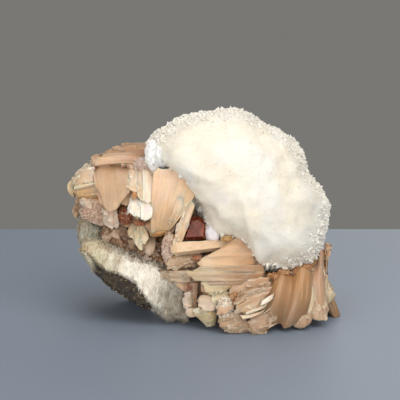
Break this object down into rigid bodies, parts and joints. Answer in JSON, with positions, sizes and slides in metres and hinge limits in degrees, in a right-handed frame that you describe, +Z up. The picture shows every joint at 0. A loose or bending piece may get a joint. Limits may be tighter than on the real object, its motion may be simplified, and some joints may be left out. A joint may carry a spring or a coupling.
{
  "type": "scolecite on stilbite mineral specimen",
  "caption": "A natural mineral group: a spiny white ball grown on peach bladed crystals, over a white fibrous crust with a dark rock rind. It rests on its own feet.",
  "frame": {"origin": "on the floor, under the middle of the specimen's bounding box", "axes": "+X to the right as seen from the front, +Y away from the viewer, +Z up; the longest side runs along X"},
  "size_m": [0.1005, 0.0619, 0.0781],
  "materials": {
    "scolecite": "fine white needles, soft and matte",
    "stilbite": "peach, pearly on the broad faces, finely striated",
    "pale_stilbite": "pale cream, waxy",
    "heulandite": "dark red, glassy",
    "druse": "brown, small glassy crystals",
    "fibrous_zeolite": "white to cream, fibrous, silky",
    "basalt": "dark, rough and crumbly"
  },
  "bodies": {
    "root": {"scolecite_ball": "scolecite", "scolecite_tuft": "scolecite", "stilbite_upper_cluster": "stilbite", "stilbite_lower_cluster": "stilbite", "stilbite_back_cluster": "stilbite", "stilbite_bar": "pale_stilbite", "heulandite_crystal": "heulandite", "hollow_crystals": "druse", "fibrous_crust": "fibrous_zeolite", "basalt_matrix": "basalt"}
  },
  "joints": []
}
